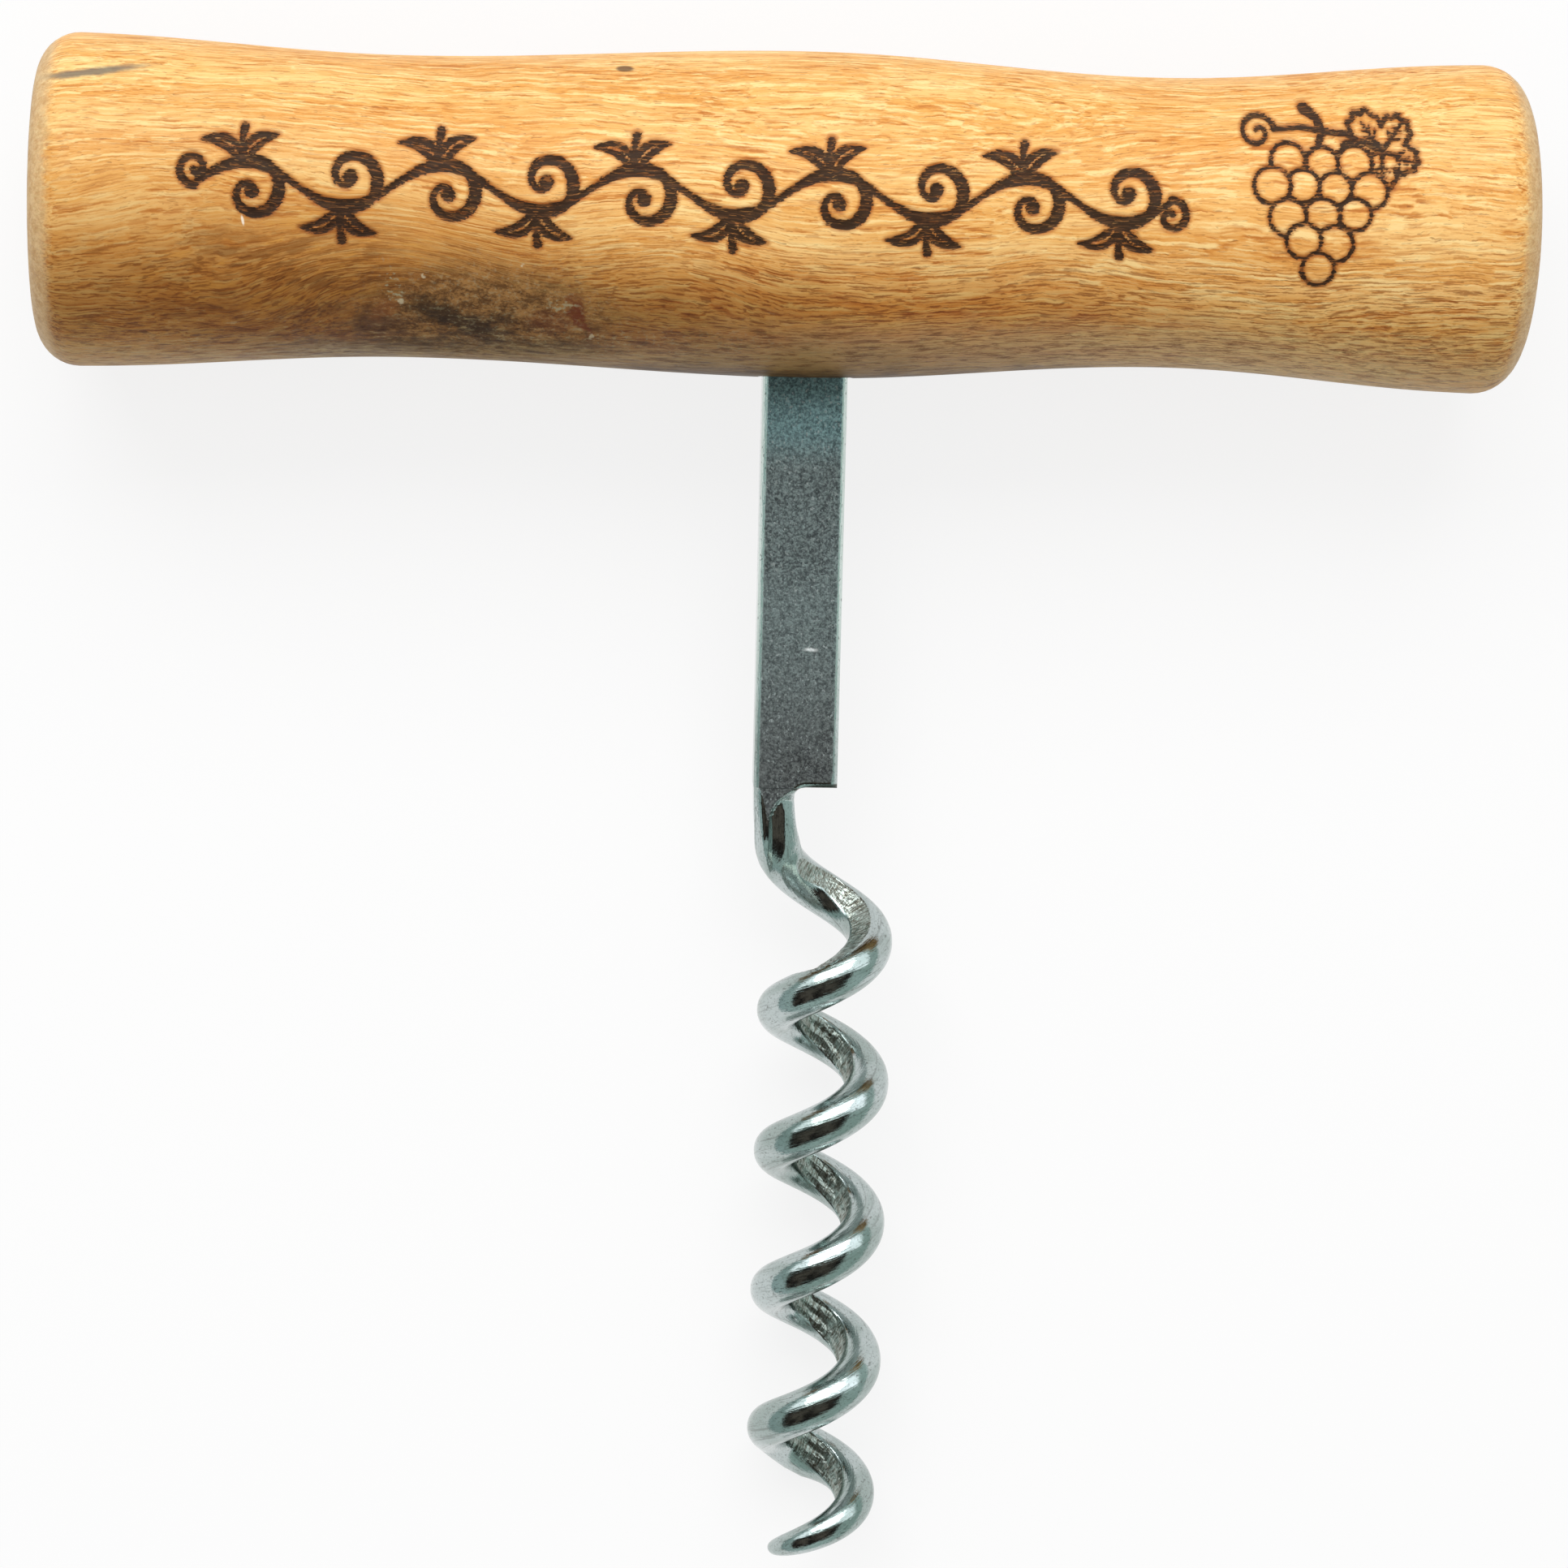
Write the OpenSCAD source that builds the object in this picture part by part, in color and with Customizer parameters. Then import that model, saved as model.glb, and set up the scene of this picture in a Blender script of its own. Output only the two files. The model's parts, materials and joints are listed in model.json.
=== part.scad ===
// A hand-made corkscrew: a turned wooden T-handle and a one-piece steel screw.
// It lies on its back: both flares of the handle and the worm touch the surface at z = 0.

/* [Handle] */
// Length of the handle over its two flat ends
handle_length = 108; // [96:0.5:124]
// Diameter of the flare at each end
flare_d = 24; // [22.5:0.1:28]
// Distance from each end at which the flare stops growing
flare_level = 2; // [0:0.1:5]
// Diameter of the left waist
left_waist_d = 21.8; // [18:0.1:22.4]
// Diameter of the right waist
right_waist_d = 21.1; // [18:0.1:22.4]
// Distance of each waist from the middle of the handle
waist_reach = 27.5; // [22:0.5:36]
// Diameter of the swell that carries the screw
swell_d = 23.7; // [22.4:0.1:26]
// Distance of the swell and the screw to the right of the handle's middle
swell_offset = 1.8; // [-4:0.1:4]
// Radius of the rounded rim at each end
end_round = 3; // [1.5:0.1:5]

/* [Shank] */
// Width of the flat steel strip
strip_w = 6.2; // [5:0.1:7.5]
// Thickness of the flat steel strip
strip_t = 3.2; // [2.6:0.1:4]
// Radius on the long edges of the strip
strip_edge_r = 0.5; // [0.2:0.05:0.9]
// Bare length of the shank between the wood and its shoulder
shank_length = 30.3; // [18:0.1:45]
// Length of the tang inside the wood
tang_length = 17; // [10:0.5:19]
// Gap between the tang and the walls of its mortise
tang_gap = 0.05; // [0.02:0.01:0.3]
// Depth of the barb notches in the tang's narrow edges
barb_depth = 0.7; // [0.2:0.05:1.2]
// Height of one barb
barb_pitch = 3.6; // [2.5:0.1:5]
// Number of barbs along each edge of the tang
barb_count = 3; // [1:1:3]

/* [Worm] */
// Outer diameter of the worm
worm_d = 10.1; // [8.6:0.1:12]
// Diameter of the wire
wire_d = 3.45; // [2.6:0.05:3.8]
// Depth of the flat on the wire's inner side
wire_flat = 0.35; // [0.1:0.05:0.8]
// Advance of the worm in one turn
worm_pitch = 10.8; // [8:0.1:13]
// Turns from the shoulder to the point
worm_turns = 4.97; // [3:0.01:6]
// Distance of the worm's axis to the right of the shank's axis
worm_offset = 2.6; // [1:0.1:3.5]
// Radius of the fillet between the shoulder and the wire
shoulder_fillet = 0.8; // [0.3:0.05:1.5]
// Length over which the split strip is rounded into wire
rounding_length = 3.3; // [2:0.1:6]
// Straight length of the wire below the shoulder
lead_length = 2.3; // [1:0.1:4]
// Length over which the wire bends into the full pitch
bend_length = 7.9; // [6:0.1:14]
// Turns over which the worm is ground down to its point
taper_turns = 0.6; // [0.4:0.05:1.5]

/* [Hidden] */
// Facets round the wire, in four equal corners
corner_facets = 6;
// Rings in one turn of the worm
rings_per_turn = 32;
// Steps along each half of the handle's profile between its turning points
profile_steps = 16;
// Steps round the rim of each end
rim_steps = 8;
// How far the wire's first rings reach up into the shank
wire_root = 1;
// Inset of that root from the faces of the strip
root_inset = 0.02;
// Exponent of the ground taper: well under one gives a full wire with a rounded point
taper_power = 0.44;
// Move of the ground section towards the worm's axis, for each unit of radius taken off
point_inset = 0.32;
// Move of the ground section towards the handle, for each unit of radius taken off
point_lift = 0.72;
// Closely set rings that round the point
point_rings = 12;
// Extra length of a cut past the face that it opens
cut_past = 1;
$fn = 96;

flare_r = flare_d / 2;
half_length = handle_length / 2;
tang_bottom = swell_d / 2;
shoulder_drop = tang_bottom + shank_length;
split_w = strip_w / 2;
wire_r = wire_d / 2;
coil_r = worm_d / 2 - wire_r;
start_r = worm_offset + strip_w / 2 - split_w / 2;
worm_drop = lead_length + bend_length / 2 + worm_turns * worm_pitch;
taper_drop = taper_turns * worm_pitch;

function ease(t) = (1 - cos(180 * min(1, max(0, t)))) / 2;
function mix(a, b, t) = a + (b - a) * t;

// Radius of the turned handle at x, with its swell, two waists and two flares
function turned_r(x) =
    let(waist_r = (x < swell_offset ? left_waist_d : right_waist_d) / 2)
    let(out = abs(x) - waist_reach)
    let(to_swell = abs(x - swell_offset) / (waist_reach + (x < swell_offset ? 1 : -1) * swell_offset))
    out < 0
        ? mix(swell_d / 2, waist_r, ease(to_swell))
        : mix(waist_r, flare_r, ease(out / (half_length - flare_level - waist_reach)));

// Outline of one end from the turned side to the flat face, side is -1 or 1
function rim_points(side) =
    let(x0 = half_length - end_round)
    let(r0 = turned_r(side * x0))
    [for (k = [0 : rim_steps])
        let(a = 90 * k / rim_steps)
        [r0 - end_round + end_round * cos(a), side * (x0 + end_round * sin(a))]];

function side_stations(from, to) =
    [for (k = [1 : profile_steps - 1]) mix(from, to, k / profile_steps)];

// Turns made by the wire at a drop below the shoulder
function turns_at(drop) =
    let(bend = drop - lead_length)
    bend <= 0 ? 0
    : bend < bend_length ? bend * bend / (2 * bend_length) / worm_pitch
    : (bend - bend_length / 2) / worm_pitch;

// Radius of the wire at a drop below the shoulder, down to the ground point
function wire_r_at(drop) =
    wire_r * pow(min(1, max(0, (worm_drop - drop) / taper_drop)), taper_power);

// Centre of the unground wire, measured from the handle's axis under the shank
function wire_centre(drop) =
    let(a = 360 * turns_at(drop))
    let(r = mix(start_r, coil_r, ease(drop / (lead_length + bend_length))))
    [worm_offset - r * cos(a), -shoulder_drop - drop, -r * sin(a)];

// Section of the wire: the split strip's rounded square above, a round with an inner flat below.
// The point is ground from its outer lower side, so its section draws in and up.
function wire_section(drop) =
    let(inset = drop < 0 ? root_inset : 0)
    let(formed = ease(drop / (lead_length + bend_length)))
    let(r = wire_r_at(drop))
    let(half_w = mix(split_w / 2, r, formed) - inset)
    let(half_t = mix(strip_t / 2, r, formed) - inset)
    let(small = min(half_w, half_t))
    let(square = pow(1 - min(1, max(0, drop / rounding_length)), 2))
    let(corner = mix(small, strip_edge_r, square))
    let(flat = half_w - wire_flat * formed * r / wire_r)
    let(ground = wire_r - r)
    [for (q = [0 : 3])
        for (k = [0 : corner_facets - 1])
            let(a = 90 * (q + (k + 0.5) / corner_facets))
            let(side_x = q == 0 || q == 3 ? 1 : -1)
            let(side_y = q < 2 ? 1 : -1)
            [min(flat, side_x * (half_w - corner) + corner * cos(a)) + point_inset * ground,
             side_y * (half_t - corner) + corner * sin(a) - point_lift * ground]];

// One ring of the wire: its section set square to the path, flat side to the worm's axis
function wire_ring(drop) =
    let(step = 0.05)
    let(path = wire_centre(drop + step) - wire_centre(drop - step))
    let(along = path / norm(path))
    let(a = 360 * turns_at(drop))
    let(across = cross(along, [cos(a), 0, sin(a)]))
    let(b = across / norm(across))
    let(n = cross(b, along))
    [for (p = wire_section(drop)) wire_centre(drop) + p[0] * n + p[1] * b];

ring_step = worm_pitch / rings_per_turn;
body_rings = ceil((worm_drop - ring_step + wire_root) / ring_step);
ring_drops = concat(
    [for (i = [0 : body_rings]) mix(-wire_root, worm_drop - ring_step, i / body_rings)],
    [for (i = [point_rings - 1 : -1 : 1]) worm_drop - ring_step * pow(i / point_rings, 3)]
);
ring_count = len(ring_drops) - 1;
wire_rings = [for (drop = ring_drops) wire_ring(drop)];
ring_size = 4 * corner_facets;
wire_points = [for (ring = wire_rings) each ring];
wire_faces = [
    [for (j = [0 : ring_size - 1]) j],
    for (i = [0 : ring_count - 1])
        for (j = [0 : ring_size - 1])
            let(a = i * ring_size + j)
            let(b = i * ring_size + (j + 1) % ring_size)
            each [[a, a + ring_size, b + ring_size], [a, b + ring_size, b]],
    [for (j = [ring_size - 1 : -1 : 0]) ring_count * ring_size + j]
];

// Slope at which the worm comes to touch the surface that the flares lie on
rest_slope = min([for (p = wire_points) acos(-flare_r / norm([p[1], p[2]])) - atan2(-p[1], p[2])]);
front_reach = min([for (p = wire_points) p[1] * cos(rest_slope) - p[2] * sin(rest_slope)]);
rest_shift = -(flare_r + front_reach) / 2;

module at_rest() {
    translate([0, rest_shift, flare_r])
        rotate([rest_slope, 0, 0])
            children();
}

// Solid of revolution between the two flat ends
module turned_blank() {
    left = [for (x = side_stations(end_round - half_length, -waist_reach)) [turned_r(x), x]];
    left_swell = [for (x = side_stations(-waist_reach, swell_offset)) [turned_r(x), x]];
    right_swell = [for (x = side_stations(swell_offset, waist_reach)) [turned_r(x), x]];
    right = [for (x = side_stations(waist_reach, half_length - end_round)) [turned_r(x), x]];
    left_rim = rim_points(-1);
    rotate([0, 90, 0])
        rotate_extrude()
            polygon(concat(
                [[0, -half_length]],
                [for (k = [rim_steps : -1 : 0]) left_rim[k]],
                left,
                [[turned_r(-waist_reach), -waist_reach]],
                left_swell,
                [[swell_d / 2, swell_offset]],
                right_swell,
                [[turned_r(waist_reach), waist_reach]],
                right,
                rim_points(1),
                [[0, half_length]]
            ));
}

// Blind slot from the underside of the swell, a gap wider than the tang all round
module mortise() {
    slot_w = strip_w + 2 * tang_gap;
    slot_t = strip_t + 2 * tang_gap;
    slot_top = tang_length - tang_bottom + tang_gap;
    slot_depth = tang_length + tang_gap + cut_past;
    translate([swell_offset - slot_w / 2, slot_top - slot_depth, -slot_t / 2])
        cube([slot_w, slot_depth, slot_t]);
}

module handle() {
    color("#c58a50")
        at_rest()
            difference() {
                turned_blank();
                mortise();
            }
}

module rounded_bar(w, t, r) {
    for (x = [-1, 1])
        for (y = [-1, 1])
            translate([x * (w / 2 - r), y * (t / 2 - r)])
                circle(r = r);
    square([w - 2 * r, t], center = true);
    square([w, t - 2 * r], center = true);
}

// Notches that leave barbs pointing back towards the worm
module barb_cuts() {
    for (side = [-1, 1])
        for (k = [0 : barb_count - 1])
            translate([side * strip_w / 2, tang_length - tang_bottom - (k + 1) * barb_pitch, 0])
                linear_extrude(height = strip_t + 2 * cut_past, center = true)
                    polygon([
                        [side * cut_past, 0],
                        [-side * barb_depth, 0],
                        [0, 0.8 * barb_pitch],
                        [side * cut_past, 0.8 * barb_pitch]
                    ]);
}

// Strip from the top of the tang down to the shoulder
module strip() {
    length = tang_length + shank_length;
    difference() {
        translate([0, tang_length - tang_bottom, 0])
            rotate([90, 0, 0])
                linear_extrude(height = length)
                    rounded_bar(strip_w, strip_t, strip_edge_r);
        barb_cuts();
    }
}

// Concave fillet in the corner between the shoulder and the wire
module fillet_web() {
    web_t = strip_t - 2 * strip_edge_r;
    wire_side = split_w - strip_w / 2;
    translate([wire_side, -shoulder_drop, 0])
        linear_extrude(height = web_t, center = true)
            difference() {
                translate([-split_w / 4, -shoulder_fillet])
                    square([split_w / 4 + shoulder_fillet, shoulder_fillet + strip_edge_r]);
                translate([shoulder_fillet, -shoulder_fillet])
                    circle(r = shoulder_fillet);
            }
}

module worm() {
    polyhedron(points = wire_points, faces = wire_faces, convexity = 12);
}

module screw() {
    color("#8d9298")
        at_rest()
            translate([swell_offset, 0, 0]) {
                strip();
                fillet_web();
                worm();
            }
}

handle();
screw();
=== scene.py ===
import json
import math

import bpy
import numpy as np
from mathutils import Matrix, Vector


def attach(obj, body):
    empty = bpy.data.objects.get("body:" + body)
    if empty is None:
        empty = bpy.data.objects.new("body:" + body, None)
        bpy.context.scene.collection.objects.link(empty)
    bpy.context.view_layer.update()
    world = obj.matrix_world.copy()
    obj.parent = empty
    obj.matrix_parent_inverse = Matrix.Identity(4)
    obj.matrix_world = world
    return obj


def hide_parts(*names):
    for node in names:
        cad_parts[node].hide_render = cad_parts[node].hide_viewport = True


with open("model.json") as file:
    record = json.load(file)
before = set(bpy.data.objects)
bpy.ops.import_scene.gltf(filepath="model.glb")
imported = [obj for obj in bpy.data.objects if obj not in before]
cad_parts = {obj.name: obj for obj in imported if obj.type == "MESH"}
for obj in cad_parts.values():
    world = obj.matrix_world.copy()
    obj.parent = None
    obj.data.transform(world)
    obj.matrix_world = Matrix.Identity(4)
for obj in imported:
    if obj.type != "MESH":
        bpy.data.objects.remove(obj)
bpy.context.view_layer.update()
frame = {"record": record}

# How it lies and how it is seen. The corkscrew rests on its back, and every shape below is drawn
# in its own measure: millimetres from the middle of the handle, x along it, y away from the
# worm and z out of the decorated side. The camera looks down from the handle's side.
mounts = {mount["name"]: mount for mount in frame["record"]["mounts"]}
left_end = np.array(mounts["left_end"]["pos_m"])
right_end = np.array(mounts["right_end"]["pos_m"])
handle_middle = (left_end + right_end) / 2
along = (right_end - left_end) / np.linalg.norm(right_end - left_end)
away = -np.array(mounts["worm_point"]["axis"])
own_axes = np.stack([along, away, np.cross(along, away)])


def laid(points):
    """Moves points from the corkscrew's own millimetres to where it lies, in metres."""
    return handle_middle + np.asarray(points) / 1000 @ own_axes


def new_object(name, data):
    """Puts a new object in the scene."""
    thing = bpy.data.objects.new(name, data)
    bpy.context.scene.collection.objects.link(thing)
    return thing


camera_place = (-18.8, 15.4, 356.6)
camera_tilt, camera_swing, camera_roll = 9.16, 3.14, -0.88
photo_size, focal_length = 1932, 5988.5
sensor = 36

camera_data = bpy.data.cameras.new("camera")
camera_data.sensor_width = sensor
camera_data.lens = sensor * focal_length / photo_size
camera = new_object("camera", camera_data)
bpy.context.scene.camera = camera
camera_turn = (Matrix.Rotation(math.radians(camera_roll), 3, "Z")
               @ Matrix.Rotation(math.radians(camera_swing), 3, "Y")
               @ Matrix.Rotation(math.radians(camera_tilt), 3, "X"))
camera_axes = Matrix(own_axes.T.tolist()) @ camera_turn.transposed()
camera.matrix_world = Matrix.Translation(laid(camera_place)) @ camera_axes.to_4x4()


# The handle: one piece of oiled hardwood, turned with a swell in the middle, two waists and two
# flared ends with rounded rims. It is worn and stained by the screw, and carries a burnt
# running vine with a bunch of grapes at its right end.
handle_length = 108.0
flare_d, flare_level = 24.0, 2.0
left_waist_d, right_waist_d, waist_reach = 21.8, 21.1, 27.5
swell_d, swell_offset = 23.7, 1.8
end_round = 3.0
strip_w, strip_t = 6.2, 3.2


def ease(t):
    """Half a cosine wave: 0 below 0, 1 above 1 and a smooth rise between."""
    return (1 - np.cos(np.pi * np.clip(t, 0, 1))) / 2


def turned_radius(x):
    """Radius of the handle at x: eased from the swell to a waist and from there to the flare."""
    waist = np.where(x < swell_offset, left_waist_d, right_waist_d) / 2
    to_waist = waist_reach + np.where(x < swell_offset, swell_offset, -swell_offset)
    inner = swell_d / 2 + (waist - swell_d / 2) * ease(np.abs(x - swell_offset) / to_waist)
    rise = (np.abs(x) - waist_reach) / (handle_length / 2 - flare_level - waist_reach)
    outer = waist + (flare_d / 2 - waist) * ease(rise)
    return np.where(np.abs(x) < waist_reach, inner, outer)


def stations(*spans):
    """Stations along a line, from spans of (start, step), each up to the next one's start."""
    starts = [span[0] for span in spans]
    runs = [np.linspace(start, end, max(1, round((end - start) / step)), endpoint=False)
            for (start, step), end in zip(spans[:-1], starts[1:])]
    return np.concatenate(runs + [starts[-1:]])


def stroke(x, y, points, widths):
    """Distance from each place (x, y) to the edge of a stroke: the least, over its straight
    bits, of the distance to the bit less half its width there. Inside it is negative."""
    points = np.asarray(points, float)
    halves = np.broadcast_to(np.asarray(widths, float) / 2, len(points))
    nearest = np.full(x.shape, 9.0)
    reach = halves.max() + 1
    near = ((x > points[:, 0].min() - reach) & (x < points[:, 0].max() + reach)
            & (y > points[:, 1].min() - reach) & (y < points[:, 1].max() + reach))
    px, py = x[near], y[near]
    best = nearest[near]
    for a, b, half_a, half_b in zip(points[:-1], points[1:], halves[:-1], halves[1:]):
        run = b - a
        t = np.clip(((px - a[0]) * run[0] + (py - a[1]) * run[1]) / max(run @ run, 1e-9), 0, 1)
        gap = np.hypot(px - a[0] - t * run[0], py - a[1] - t * run[1])
        best = np.minimum(best, gap - half_a - t * (half_b - half_a))
    nearest[near] = best
    return nearest


curl_steps = 36


def curl(centre, start, turn, radius, tightness, steps=curl_steps):
    """Points of a spiral: from an angle and radius round its centre, winding inwards."""
    t = np.linspace(0, 1, steps)
    angle = np.radians(start + turn * t)
    reach = radius * (1 - t) ** tightness + 0.12
    return np.stack([centre[0] + reach * np.cos(angle), centre[1] + reach * np.sin(angle)], 1)


def leaf(x, y, foot, tip, width, bow):
    """Distance to a small leaf: a bowed stroke with a lens-shaped width, less a pale midrib."""
    t = np.linspace(0, 1, 16)[:, None]
    foot, tip = np.asarray(foot, float), np.asarray(tip, float)
    side = np.array([foot[1] - tip[1], tip[0] - foot[0]])
    spine = foot + (tip - foot) * t + side * bow * np.sin(np.pi * t)
    body = stroke(x, y, spine, width * np.sin(np.pi * t[:, 0] ** 0.8) ** 0.9 + 0.12)
    midrib = stroke(x, y, spine[3:12], 0.16)
    return np.maximum(body, -midrib)


vine_start, vine_end, vine_middle, vine_swing = -42.0, 27.0, 1.9, 1.5
vine_waves = 5
scroll_r, scroll_turn, scroll_start = 2.3, 430, 125
scroll_shift, scroll_rise = 0.45, 0.55
berry_dot, leaf_w = 0.5, 1.0


def vine_band(x, y):
    """Distance to the running vine: a waved stem, a curl in each hollow that ends in a berry,
    and a pair of leaves with a bud on each crest."""
    wave = (vine_end - vine_start) / vine_waves
    t = np.linspace(0, 1, 320)
    phase = 2 * np.pi * vine_waves * t
    stem_x = vine_start + (vine_end - vine_start) * t
    stem = np.stack([stem_x, vine_middle + vine_swing * np.sin(phase)], 1)
    best = stroke(x, y, stem, 0.42 + 0.5 * np.sin(phase) ** 2)
    swelling = np.interp(np.linspace(0, 1, 60), [0, 0.3, 0.7, 1], [0.4, 0.88, 0.45, 0.4])
    for k in range(2 * vine_waves):
        side = 1 if k % 2 == 0 else -1
        crest_x = vine_start + (k + 0.5) * wave / 2
        heart = (crest_x + scroll_shift, vine_middle - side * scroll_rise)
        spiral = curl(heart, side * scroll_start, -side * scroll_turn, scroll_r, 0.75, 60)
        best = np.minimum(best, stroke(x, y, spiral, swelling))
        best = np.minimum(best, np.hypot(x - heart[0], y - heart[1]) - berry_dot)
        foot = np.array([crest_x - 0.2, vine_middle + side * vine_swing])
        for lean, length in ((-2.9, 1.5), (2.5, 1.9)):
            tip = foot + [lean, side * length]
            best = np.minimum(best, leaf(x, y, foot, tip, leaf_w, side * lean * 0.07))
        bud = foot + np.array([[0, 0], [-0.1, side * 1.3], [0.1, side * 2.4]])
        best = np.minimum(best, stroke(x, y, bud, [0.4, 0.3, 0.62]))
    start_curl = curl((vine_start - 0.1, vine_middle + 1.0), -90, -400, 1.1, 0.8)
    end_curl = curl((vine_end + 0.1, vine_middle - 1.0), 90, -400, 1.1, 0.8)
    for tail in (start_curl, end_curl):
        best = np.minimum(best, stroke(x, y, tail, np.linspace(0.55, 0.4, curl_steps)))
    return best


berry_r, berry_line, berry_step = 1.22, 0.25, 2.3
bunch_rows, row_drop = (3, 4, 3, 2, 1), 1.93
bunch_top = (37.7, 5.1)
leaf_heart, leaf_r, leaf_turn = (42.1, 5.9), 2.85, -20
leaf_line, vein_tip = 0.32, 0.16


def grape_bunch(x, y):
    """Distance to the line drawing: rows of round berries, each in front of the ones above,
    a lobed leaf with veins and hatching, a short stalk and a tendril."""
    best = np.full(x.shape, 9.0)
    cover = np.full(x.shape, 9.0)
    for row in reversed(range(len(bunch_rows))):
        for i in range(bunch_rows[row]):
            sway = 0.14 * np.sin(7.3 * i + 3.1 * row)
            centre_x = bunch_top[0] + (i - (bunch_rows[row] - 1) / 2) * berry_step + sway
            centre_y = bunch_top[1] - row * row_drop + 0.16 * np.sin(5.1 * i + 2.3 * row)
            size = berry_r * (1 + 0.08 * np.sin(4.7 * i + row))
            gap = np.hypot(x - centre_x, y - centre_y) - size
            best = np.minimum(best, np.maximum(np.abs(gap) - berry_line / 2, -cover))
            cover = np.minimum(cover, gap)
    angle = np.linspace(-np.pi, np.pi, 121)
    lobes = leaf_r * (0.60 + 0.40 * np.abs(np.cos(2.5 * angle)) ** 0.7) * (1 - 0.10 * np.cos(angle))
    lobes *= 1 + 0.05 * np.sin(23 * angle)
    turned = angle + np.radians(leaf_turn)
    rim = np.stack([leaf_heart[0] + lobes * np.cos(turned),
                    leaf_heart[1] + lobes * np.sin(turned)], 1)
    drawn = stroke(x, y, rim, leaf_line)
    for spoke in (-144, -72, 0, 72, 144):
        bearing = np.radians(spoke + leaf_turn)
        way = np.array([np.cos(bearing), np.sin(bearing)])
        vein = [leaf_heart, leaf_heart + 0.82 * leaf_r * way]
        drawn = np.minimum(drawn, stroke(x, y, vein, [leaf_line, vein_tip]))
        for reach, side in ((0.34, 1), (0.34, -1), (0.56, 1), (0.56, -1)):
            root = leaf_heart + reach * leaf_r * way
            tip = root + 0.85 * (0.9 - reach) * (way + side * np.array([-way[1], way[0]]))
            drawn = np.minimum(drawn, stroke(x, y, [root, tip], [0.2, 0.14]))
    stalk = [(37.6, 6.2), (37.9, 7.2), (37.6, 8.1), (36.8, 8.75)]
    drawn = np.minimum(drawn, stroke(x, y, stalk, [0.42, 0.55, 0.55, 0.85]))
    joint = [(37.9, 7.2), (39.6, 7.0), leaf_heart]
    drawn = np.minimum(drawn, stroke(x, y, joint, [0.5, 0.38, 0.34]))
    best = np.minimum(best, np.maximum(drawn, -cover))
    tendril = curl((33.3, 7.0), 10, 470, 1.2, 0.7)
    best = np.minimum(best, stroke(x, y, tendril, np.linspace(0.38, 0.24, curl_steps)))
    shoot = [(37.9, 7.2), (36.2, 7.4), (34.5, 7.2)]
    return np.minimum(best, stroke(x, y, shoot, [0.42, 0.34, 0.36]))


burn_depth, burn_edge = 0.12, 0.22
lip_depth, lip_reach = 0.45, 0.3
handle_x = stations((-51.0, 1.2), (-44.5, 0.18), (45.8, 1.2), (51.0, 1.0))
rim_angle = np.radians(np.linspace(90, 0, 11))
rim_x = handle_length / 2 - end_round
profile_x = np.concatenate([-rim_x - end_round * np.sin(rim_angle), handle_x[1:-1],
                            rim_x + end_round * np.sin(rim_angle[::-1])])
rim_r = flare_d / 2 - end_round * (1 - np.cos(rim_angle))
profile_r = np.concatenate([rim_r, turned_radius(handle_x[1:-1]), rim_r[::-1]])
round_angle = np.radians(stations((-180.0, 6.2), (-102.0, 0.85), (-78.0, 4.0), (-27.0, 0.88),
                                  (60.0, 6.0), (180.0, 1.0))[:-1])


def handle_points():
    """Points of the handle on a grid of profile by angle: (x, r sin a, r cos a), with the burnt
    lines sunk by the burn's depth and the wood pulled in round the shank's slot."""
    x, angle = np.meshgrid(profile_x, round_angle, indexing="ij")
    radius = np.repeat(profile_r[:, None], len(round_angle), 1)
    y, z = radius * np.sin(angle), radius * np.cos(angle)
    burn = np.full(x.shape, 2.0)
    front = (z > 3) & (y > -7) & (y < 11) & (np.abs(x) < 47)
    burn[front] = np.minimum(vine_band(x[front], y[front]), grape_bunch(x[front], y[front]))
    sunk = burn_depth * ease(0.5 - burn / burn_edge)
    slot_gap = np.hypot(np.maximum(np.abs(x - swell_offset) - strip_w / 2, 0),
                        np.maximum(np.abs(z) - strip_t / 2, 0))
    lip = np.where(y < 0, lip_depth * ease(1 - slot_gap / lip_reach), 0)
    radius = radius - sunk - lip
    return np.stack([x, radius * np.sin(angle), radius * np.cos(angle)], 2), burn


def ring_quads(rings, size):
    """Quads between neighbouring closed rings of one size."""
    start = np.arange(rings - 1)[:, None] * size
    here = start + np.arange(size)
    after = start + (np.arange(size) + 1) % size
    return np.stack([here, after, after + size, here + size], 2).reshape(-1, 4)


def handle_faces(rows, columns):
    """Quads between neighbouring stations and angles, and a flat face on each end."""
    quads = ring_quads(rows, columns)[:, [0, 3, 2, 1]]
    near_end = list(range(columns))
    far_end = list(range((rows - 1) * columns, rows * columns))
    return quads.tolist() + [near_end, far_end[::-1]]


def make_piece(name, points, faces, sharp=40):
    """A closed mesh of its own, with smooth faces and sharp edges above an angle."""
    mesh = bpy.data.meshes.new(name)
    mesh.from_pydata(laid(points).tolist(), [], faces)
    mesh.polygons.foreach_set("use_smooth", np.ones(len(mesh.polygons), bool))
    mesh.set_sharp_from_angle(angle=math.radians(sharp))
    mesh.update()
    return new_object(name, mesh)


def keep_values(mesh, name, values):
    """Stores one number, or one set of three, for each point of the mesh."""
    triple = values.ndim == 2
    store = mesh.attributes.new(name, "FLOAT_VECTOR" if triple else "FLOAT", "POINT")
    store.data.foreach_set("vector" if triple else "value", values.astype(np.float32).ravel())


points, burn = handle_points()
handle = make_piece("wooden_handle", points.reshape(-1, 3), handle_faces(*burn.shape))
keep_values(handle.data, "burn", burn.ravel())


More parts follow.
